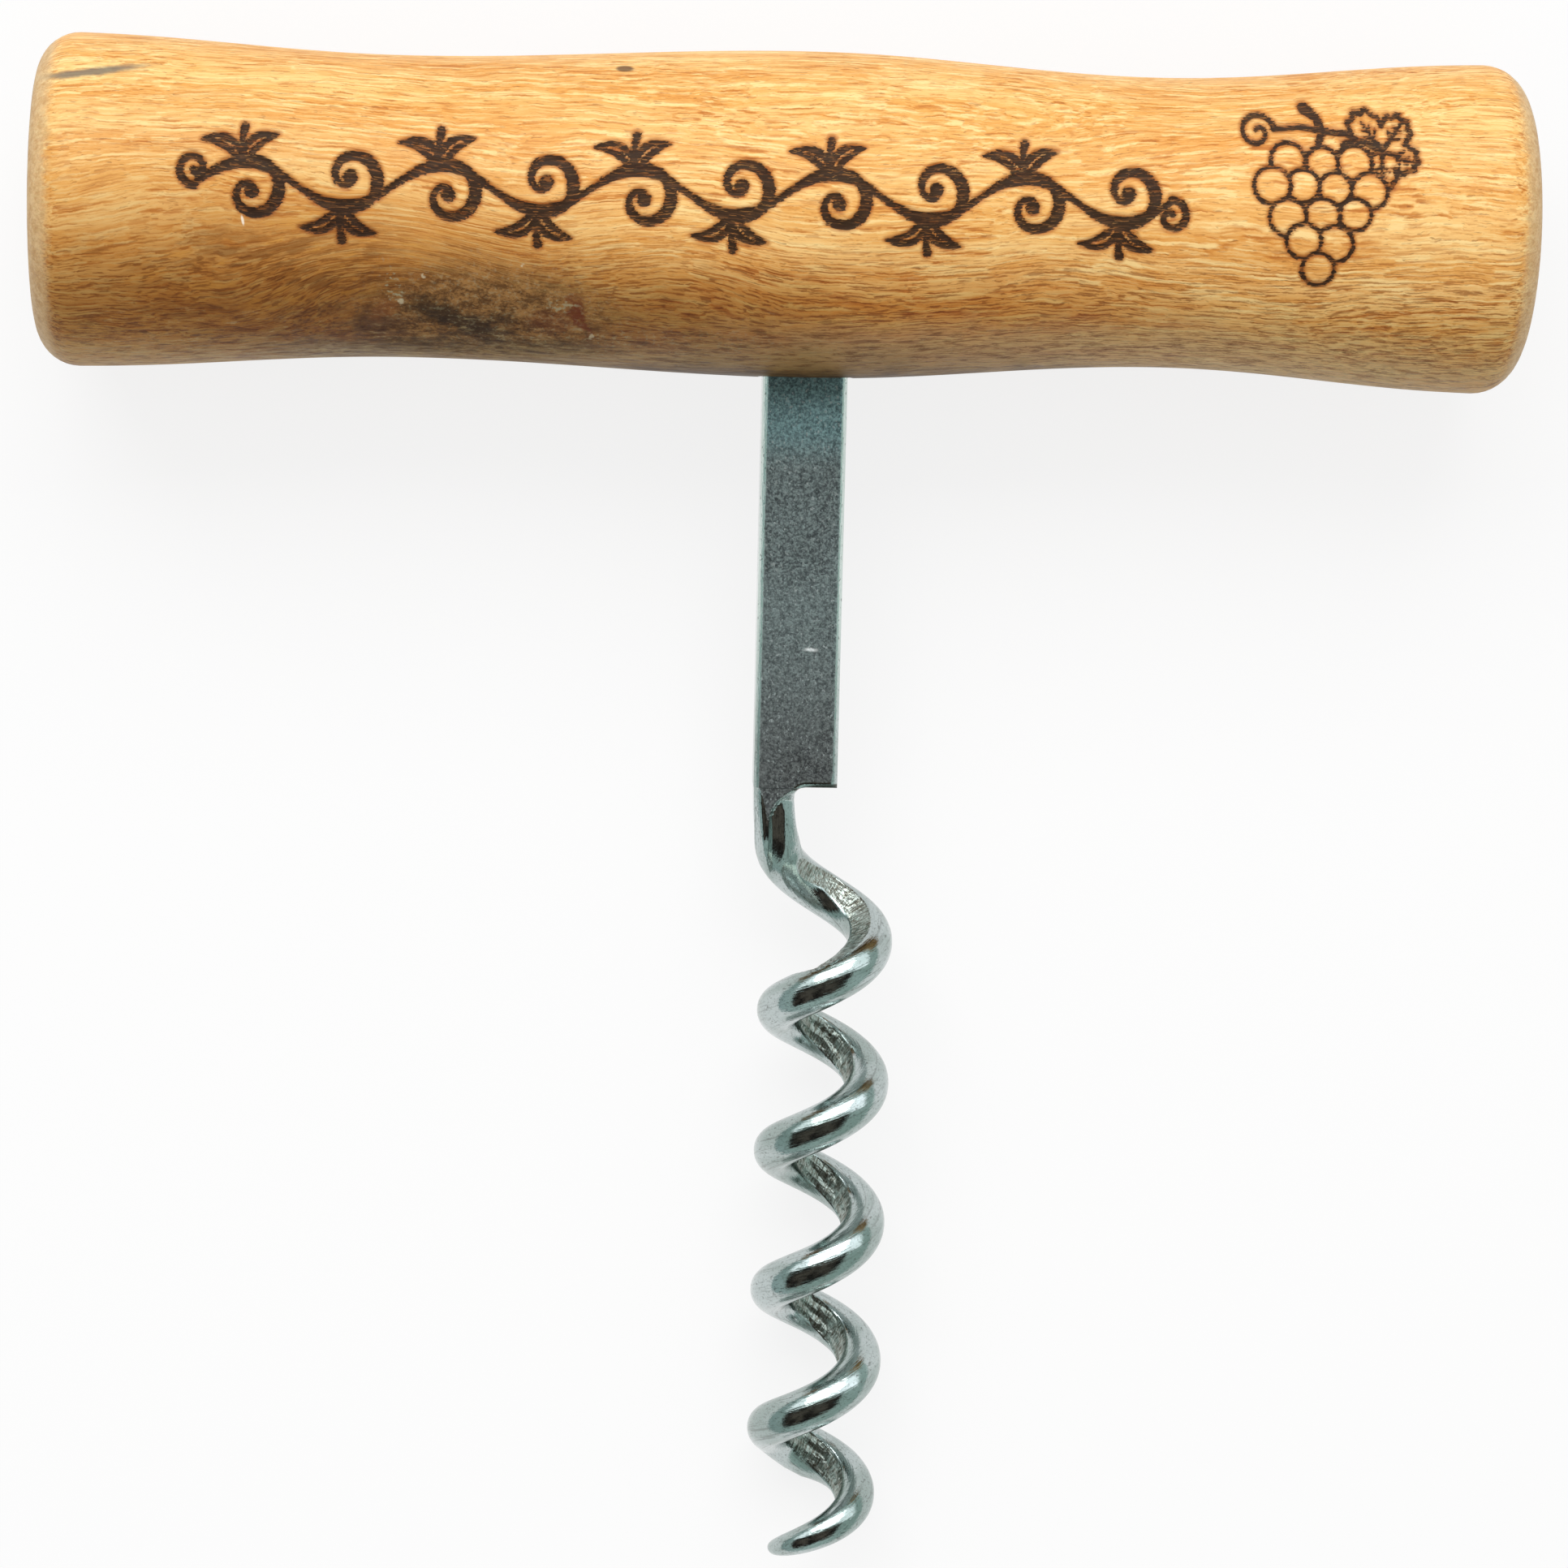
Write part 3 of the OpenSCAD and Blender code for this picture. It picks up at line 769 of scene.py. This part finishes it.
def wire_rings():
    """Rings of the wire, from the shoulder to the point, in the section's own measure: p towards
    the worm's axis, q to its upper front. Each is a front row and a back row over an oval,
    less the fall of its two edges, which start as bevels and round off down the wire, and
    less a step beside the tongue, shallower on the back."""
    bent, tip = lead_length + bend_length, worm_drop - tip_length
    near = stations((0.0, 0.05), (0.9, 0.09), (bent, 0.2))
    far = stations((bent, 0.058), (worm_drop - 1.2, 0.05), (tip, 1))
    end = worm_drop - tip_length * np.linspace(1, 0, tip_steps)[1:-1] ** 3
    drop = np.concatenate([near[:-1], far, end])
    level = drop[:, None]
    full = formed(drop)[:, None]
    half_p = split_half + (wire_r - split_half) * full
    half_q = strip_t / 2 + (wire_r - strip_t / 2) * full
    corner = np.maximum(fillet - level, 0)
    reach = half_p + fillet - np.sqrt(np.maximum(fillet ** 2 - corner ** 2, 0))
    p = -half_p + (reach + half_p) * front_share

    left_w = along_wire(drop, [0, 0.3, 3.4, 5.5, 7.5], [strip_edge, 0.6, 0.75, 1.05, wire_r])
    left_q = along_wire(drop, [0, 0.3, 3.4, 5.5, 7.0], [strip_edge, 0.6, 0.85, 1.15, wire_r])
    left_power = along_wire(drop, [0, 4.5, 7.5], [1.2, 1.3, 2])
    right_w = along_wire(drop, [0, 0.6, 1.2, 2.0, 4.5, 7.5],
                         [bevel_w, 0.85, 1.1, 0.85, 0.95, wire_r])
    right_q = along_wire(drop, [0, 0.6, 1.2, 2.0, 4.5, 7.0],
                         [bevel_q, 0.7, 0.9, 0.90, 1.0, wire_r])
    right_power = along_wire(drop, [0, 0.6, 1.2, 5.0, 7.5], [2, 1.5, 1.3, 1.3, 2])
    step_w = along_wire(drop, [0, 1, tongue_end], [0.35, 0.45, 0.25])
    slanted_level = level - step_slant * (p - step_middle)
    step_q = np.interp(slanted_level, [0, 0.2, 0.5, 0.8, 1.1, 1.5, 2.8, 3.2, 5.2, 6.0, 6.8],
                       [0, 0.08, 0.36, 0.66, 0.82, 0.88, 0.90, 0.84, 0.18, 0.05, 0])
    tongue_left, tongue_right = tongue_edges(drop)
    to_notch = notch_gap(p - half_p, level)
    deepest = half_q - 0.04
    left_fall = eased_edge(p + half_p, left_w, np.minimum(left_q, deepest), left_power)
    rows = []
    for share in (1.0, back_step):
        step = share * step_q * ease((p - tongue_right) / step_w)
        right_fall = step + eased_edge(to_notch, right_w, np.minimum(right_q, deepest - step),
                                       right_power)
        rows.append(half_q - np.maximum(left_fall, right_fall))
    ring_p, ring_q = closed_rings(p, *rows)
    face = np.minimum(np.minimum(ring_p - tongue_left, tongue_right - ring_p),
                      0.3 * (tongue_end - level))
    return drop, ring_p, ring_q, face


def worm_frames(drop):
    """Place of each ring: the wire's middle, the way towards the worm's axis and, square to
    that and to the path, the way down and out of the coil."""
    angle = 2 * np.pi * turns_at(drop)
    path = wire_path(drop + 0.02) - wire_path(drop - 0.02)
    path /= np.linalg.norm(path, axis=1)[:, None]
    inward = np.stack([np.cos(angle), 0 * angle, np.sin(angle)], 1)
    down = np.cross(path, inward)
    down /= np.linalg.norm(down, axis=1)[:, None]
    return wire_path(drop), np.cross(down, path), down


def torn_flat(drop, p, q, run, draws):
    """The inner flat: what stands past a plane, which turns and shifts along the wire, is
    taken back to it, but for ragged marks across it and low ridges along it. Gives the new
    p and q, and how far each point is torn."""
    turn = turns_at(drop)
    tilt = np.radians(along_wire(turn, [0, 0.03, 0.22, 0.5, 0.75, 0.88, 1.1, 5],
                                 [-32, -28, 42, 60, 84, 60, 15, 15]))
    taken = along_wire(turn, [0, 0.6, 0.76, 0.86, 1.0, 5], [0.21, 0.21, 0.32, 0.14, 0.27, 0.27])
    start = along_wire(drop, [3.2, 4.8, 7.4], [wire_r + 0.8, wire_r, wire_r - 0.4])
    cut = np.maximum(0.97 * wire_r - taken, start)
    lean_p, lean_q = np.cos(tilt), -np.sin(tilt)
    over = np.maximum(p * lean_p + q * lean_q - cut, 0)
    torn = np.clip(over / 0.10, 0, 1)
    marks = np.arange(0, run[-1] + 1, torn_gap)
    across = q * lean_p - p * lean_q
    slant = run[:, None] + torn_slant * across
    tear = np.interp(slant, marks, draws.normal(0, 1, len(marks)).clip(-1.6, 1.2))
    knots = np.arange(0, run[-1] + 4, 2.5)
    patchy = along_wire(run, knots, draws.uniform(0.1, 1.0, len(knots)))
    wave = across + 0.15 * np.sin(0.6 * run[:, None])
    ridges = ridge_depth * np.cos(2 * np.pi * wave / ridge_gap)
    ridges = ridges * ease((turn - 0.5) / 0.3)[:, None]
    over = over + (torn_depth * tear * patchy + ridges) * np.minimum(1, over / 0.08)
    return p - over * lean_p, q - over * lean_q, torn


def screw_points():
    """All rings of the strip and the wire, laid out as points of the corkscrew, with the same
    points as if the wire were drawn straight, and how far each is inside the dull face. The
    wire is cut by the torn flat, has a burr near its end, is a little uneven along its
    length, and is drawn in and up where it is ground."""
    drop, x, height, face = strip_rings()
    ring_x, ring_z = closed_rings(x, height, height)
    level = np.repeat(drop[:, None], ring_x.shape[1], 1)
    strip = np.stack([ring_x + swell_offset, -shoulder - level, ring_z], 2)
    strip_straight = np.stack([ring_x, ring_z, level], 2)
    bare = np.full((len(drop), side_steps), -1.0)
    strip_mill = np.concatenate([face, bare, face[:, ::-1], bare], 1)

    drop, p, q, wire_mill = wire_rings()
    steps = np.linalg.norm(np.diff(wire_path(drop), axis=0), axis=1)
    run = np.concatenate([[0], np.cumsum(steps)])
    draws = np.random.default_rng(12)
    p, q, torn = torn_flat(drop, p, q, run, draws)
    burr = burr_reach * along_wire(turns_at(drop), [4.08, 4.20, 4.27, 4.38], [0, 0.85, 1, 0])
    q = q + burr * np.maximum(q / np.hypot(p, q), 0) ** 2
    knots = np.arange(0, run[-1] + 9, 6.0)
    sway = 1 + along_wire(run, knots, draws.uniform(-0.035, 0, len(knots)))
    share = ground_share(drop)[:, None]
    taken = wire_r * (1 - share)
    p = p * share * sway + point_inset * taken
    q = q * share * sway - point_lift * taken
    middle, inward, down = worm_frames(drop)
    wire = middle[:, None] + p[:, :, None] * inward[:, None] + q[:, :, None] * down[:, None]
    wire_straight = np.stack([p, q, np.repeat(run[:, None], p.shape[1], 1)], 2)
    return (strip, strip_straight, strip_mill), (wire, wire_straight, wire_mill, torn)


def screw_faces(strip_count, wire_count):
    """Faces of the strip, the shoulder and the wire. The left part of the strip's last ring is
    the wire's first ring, and its right part is closed by a ladder of quads. All are turned
    round at the end, to face outwards."""
    wide = front_steps + wide_steps
    strip_size = 2 * (wide + side_steps)
    wire_size = 2 * (front_steps + side_steps)
    last = (strip_count - 1) * strip_size
    front = last + np.arange(wide)
    back = last + 2 * wide + side_steps - 1 - np.arange(wide)
    sides = last + wide + np.arange(side_steps)
    far_sides = last + 2 * wide + side_steps + np.arange(side_steps)
    base = strip_count * strip_size
    inner = base + np.arange(side_steps)
    ring = np.concatenate([front[:front_steps], inner, back[:front_steps][::-1], far_sides,
                           base + side_steps + np.arange((wire_count - 1) * wire_size)])
    ladder = np.stack([front[front_steps:-1], front[front_steps + 1:], back[front_steps + 1:],
                       back[front_steps:-1]], 1)
    corner = [front[front_steps - 1], front[front_steps], back[front_steps],
              back[front_steps - 1], *inner[::-1]]
    faces = [*ring_quads(strip_count, strip_size).tolist(), list(range(strip_size))[::-1],
             *ring[ring_quads(wire_count, wire_size)].tolist(), *ladder.tolist(), corner,
             [front[-1], *sides, back[-1]], ring[-wire_size:].tolist()]
    return [face[::-1] for face in faces]


(strip, strip_straight, strip_mill), (wire, wire_straight, wire_mill, torn) = screw_points()
shared_sides = slice(front_steps, front_steps + side_steps)


def joined(strip_part, wire_part):
    """The strip's points, then the wire's that the strip doesn't share already."""
    kind = strip_part.shape[2:]
    return np.concatenate([strip_part.reshape(-1, *kind), wire_part[0, shared_sides],
                           wire_part[1:].reshape(-1, *kind)])


screw = make_piece("steel_screw", joined(strip, wire), screw_faces(len(strip), len(wire)))
keep_values(screw.data, "straight", joined(strip_straight, wire_straight))
keep_values(screw.data, "mill", np.clip(0.5 + 2.5 * joined(strip_mill, wire_mill), 0, 1))
keep_values(screw.data, "torn", joined(0 * strip_mill, torn))


steel_bright, steel_green, steel_line = paint("bcc6c5"), paint("a3b0ac"), paint("6b706c")
face_pale, face_dark, face_spot = paint("9cc0c2"), paint("677e82"), paint("7e8486")
face_reflection_mid, face_reflection_low = paint("f9deda"), paint("e1d6d6")
torn_pale, torn_brown, torn_dark = paint("b2bdb6"), paint("737369"), paint("43433c")
edge_white, scratch_white = paint("d5e2dc"), paint("f4f8f8")


def steel_finish():
    """Plated steel: a dull speckled mill face on the strip, graded down its length in painted
    reflection tones and with painted shade along the shoulder's lower edge, bright drawn wire with
    fine lengthwise lines and small pits, and torn marks across the inner flat."""
    finish, tree, shader = new_finish("plated_steel")
    place = add(tree, "Attribute", attribute_name="straight").outputs["Vector"]
    low = add(tree, "SeparateXYZ", {0: place}).outputs[2]
    speckle = mottle(tree, place, (1, 1, 1), 6.0, 2.0, 0.6)
    cloud = mottle(tree, place, (0.30, 0.30, 0.16), detail=3.0, rough=0.6)
    drawn = mottle(tree, place, (3.6, 3.6, 0.28), detail=3.0, rough=0.65)
    hair = mottle(tree, place, (9.0, 9.0, 0.9), rough=0.6, shift=5.0)
    pits = mottle(tree, place, (1, 1, 0.6), 4.5, 1.0, shift=9.0)
    blots = mottle(tree, place, (1, 1, 0.8), 2.6, 3.0, 0.75, 33.0)
    flecks = mottle(tree, place, (1, 1, 0.7), 3.8, 2.0, 0.6, 21.0)
    tear = mottle(tree, place, (1.2, 1.2, 5.5), detail=3.0, rough=0.65)
    lumps = mottle(tree, place, (1.7, 1.7, 0.9), rough=0.6, shift=27.0)

    frayed = part_of(tree, sums(tree, "SUBTRACT", speckle, 0.5), 0.5)
    mill = add(tree, "Attribute", attribute_name="mill").outputs["Fac"]
    mill = between(tree, sums(tree, "ADD", mill, frayed), 0.42, 0.58)
    torn_part = add(tree, "Attribute", attribute_name="torn").outputs["Fac"]
    torn_part = between(tree, sums(tree, "ADD", torn_part, frayed), 0.35, 0.75)
    wavy = tangled(tree, place, 1.6, (0.5,) * 3)
    scratch = spot(tree, wavy, (0.87, 1.6, -10.35), (0.50, 2.0, 0.13))
    # Painted shade along the lower edge of the shoulder.
    shoulder_shade = spot(tree, place, (2.35, 0.0, -0.02), (1.75, 3.0, 0.36), 0.4)

    face = tinted(tree, between(tree, speckle, 0.36, 0.64), face_dark, face_pale)
    face = layered(tree, face, (
        (between(tree, cloud, 0.42, 0.62, 0, 0.25), face_pale),
        # Painted reflection: the mill face is left paler and bluer near the wood and darkened
        # towards the shoulder.
        (between(tree, low, -27.0, -23.5), face_reflection_mid, "MULTIPLY"),
        (between(tree, low, -14.0, 0.0), face_reflection_low, "MULTIPLY"),
        (between(tree, blots, 0.52, 0.40, 0, 0.45), face_spot, "MULTIPLY"),
        (between(tree, flecks, 0.60, 0.70, 0, 0.75), steel_bright),
        (scratch, scratch_white)))
    ripped = tinted(tree, between(tree, tear, 0.42, 0.62), torn_pale, torn_brown)
    ripped = tinted(tree, between(tree, speckle, 0.54, 0.72, 0, 0.5), ripped, torn_dark)
    colour = tinted(tree, between(tree, cloud, 0.40, 0.60), steel_bright, steel_green)
    colour = layered(tree, colour, (
        (between(tree, drawn, 0.54, 0.70, 0, 0.45), steel_line),
        (between(tree, speckle, 0.50, 0.70, 0, 0.40), steel_line),
        (between(tree, low, -0.2, -15.0, 0, 0.75), edge_white),
        (between(tree, pits, 0.64, 0.72, 0, 0.6), steel_line),
        # Painted shade on the shoulder's lower edge.
        (part_of(tree, shoulder_shade, 0.9), torn_dark),
        (torn_part, ripped), (mill, face)))
    tree.links.new(colour, shader.inputs["Base Color"])
    tree.links.new(between(tree, mill, 0, 1, 1.0, 0.80), shader.inputs["Metallic"])

    smooth = sums(tree, "ADD", between(tree, cloud, 0.35, 0.65, 0.06, 0.13),
                  between(tree, hair, 0.45, 0.65, 0, 0.07))
    rough = sums(tree, "ADD", smooth, weighed(tree, (torn_part, 0.22), (mill, 0.40)))
    tree.links.new(rough, shader.inputs["Roughness"])
    torn_relief = sums(tree, "SUBTRACT", weighed(tree, (tear, 1.2), (lumps, 7.0)), 4.1)
    relief = weighed(tree, (drawn, 0.7), (hair, 0.35),
                     (speckle, between(tree, mill, 0, 1, 0.25, 1.0)), (torn_relief, torn_part))
    bump = add(tree, "Bump", {"Height": relief, "Strength": 0.50, "Distance": 0.00006})
    tree.links.new(bump.outputs[0], shader.inputs["Normal"])
    return finish


screw.data.materials.append(steel_finish())
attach(screw, "root")
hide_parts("screw")


# The studio: a plain pale floor, a wide soft lamp on the handle's side and a pale tent all
# round, open towards the camera, which is what the bright wire shows as its dark patches.
floor_depth, floor_size = 0.01, 6.0


def floor_mesh():
    """A thin slab under the corkscrew, its top at the height it lies on."""
    half = floor_size / 2
    corners = [(x, y, z) for z in (-floor_depth, 0) for y in (-half, half) for x in (-half, half)]
    faces = [[0, 2, 3, 1], [4, 5, 7, 6], [0, 1, 5, 4], [1, 3, 7, 5], [3, 2, 6, 7], [2, 0, 4, 6]]
    mesh = bpy.data.meshes.new("floor")
    mesh.from_pydata(corners, [], faces)
    return mesh


floor = new_object("floor", floor_mesh())
floor_finish, tree, base = new_finish("pale_floor")
base.inputs["Base Color"].default_value = (0.5, 0.5, 0.5, 1)
base.inputs["Roughness"].default_value = 0.9
seen = add(tree, "LightPath")
shown = sums(tree, "MAXIMUM", seen.outputs["Is Camera Ray"], seen.outputs["Is Glossy Ray"])
shown = sums(tree, "MAXIMUM", shown, seen.outputs["Is Transmission Ray"])
glow = add(tree, "Emission", {"Color": (1, 1, 1, 1), "Strength": 0.80})
matt = add(tree, "BsdfDiffuse", {"Color": (0.18, 0.18, 0.18, 1)})
white = add(tree, "AddShader", {0: glow.outputs[0], 1: matt.outputs[0]})
mixed = add(tree, "MixShader", {0: shown, 1: base.outputs[0], 2: white.outputs[0]})
tree.links.new(mixed.outputs[0], tree.nodes["Material Output"].inputs["Surface"])
floor.data.materials.append(floor_finish)

tent = bpy.data.worlds.new("tent")
bpy.context.scene.world = tent
tent.use_nodes = True
tree = tent.node_tree
way = add(tree, "SeparateXYZ", {0: add(tree, "TexCoord").outputs["Generated"]})
left_right = sums(tree, "ARCTAN2", way.outputs[0], way.outputs[2])
down_up = sums(tree, "ARCTAN2", way.outputs[1], way.outputs[2])


def span(value, low, high, soft=0.03):
    """1 between two angles in degrees, with soft edges, and 0 outside."""
    rise = between(tree, value, math.radians(low) - soft, math.radians(low) + soft)
    fall = between(tree, value, math.radians(high) + soft, math.radians(high) - soft)
    return sums(tree, "MULTIPLY", rise, fall)


blotch = add(tree, "TexNoise", {"Vector": add(tree, "TexCoord").outputs["Generated"],
                                "Scale": 3.5, "Detail": 3.0}).outputs["Fac"]
dark_side = tinted(tree, between(tree, blotch, 0.42, 0.62), paint("1f1c1a"), paint("5d554d"))
slanted = sums(tree, "SUBTRACT", down_up, part_of(tree, left_right, 0.30))
opening = sums(tree, "MULTIPLY", span(left_right, -60, 38, 0.06), span(down_up, -170, 18, 0.10))
opening = sums(tree, "MULTIPLY", opening, span(slanted, -50, 150, 0.05))
strip_light = sums(tree, "MULTIPLY", span(left_right, -66, 66, 0.08), span(down_up, 24, 70, 0.08))
walls = tinted(tree, between(tree, left_right, -0.6, -1.7), paint("b1c5c0"), paint("a5b8b7"))
walls = tinted(tree, opening, walls, dark_side)
room = tinted(tree, strip_light, walls, paint("f6fbff"))
level = sums(tree, "ADD", 1.0, part_of(tree, strip_light, 0.8))
mirrored = add(tree, "LightPath").outputs["Is Glossy Ray"]
back = tree.nodes["Background"]
tree.links.new(tinted(tree, mirrored, paint("cbcbcb"), room), back.inputs["Color"])
strength = add(tree, "Mix", {0: mirrored, 2: 1.0, 3: level}).outputs[0]
tree.links.new(strength, back.inputs["Strength"])

lamp_data = bpy.data.lights.new("soft_lamp", "AREA")
lamp_data.shape = "RECTANGLE"
lamp_data.size, lamp_data.size_y = 0.9, 0.5
lamp_data.energy = 5.7
lamp = new_object("soft_lamp", lamp_data)
lamp_place = np.array([-0.10, 0.62, 0.62])
lamp_turn = Vector(lamp_place).to_track_quat("Z", "Y").to_matrix().to_4x4()
lamp.matrix_world = Matrix.Translation(lamp_place) @ lamp_turn
lamp.visible_camera = False

bpy.context.scene.view_settings.view_transform = "Standard"
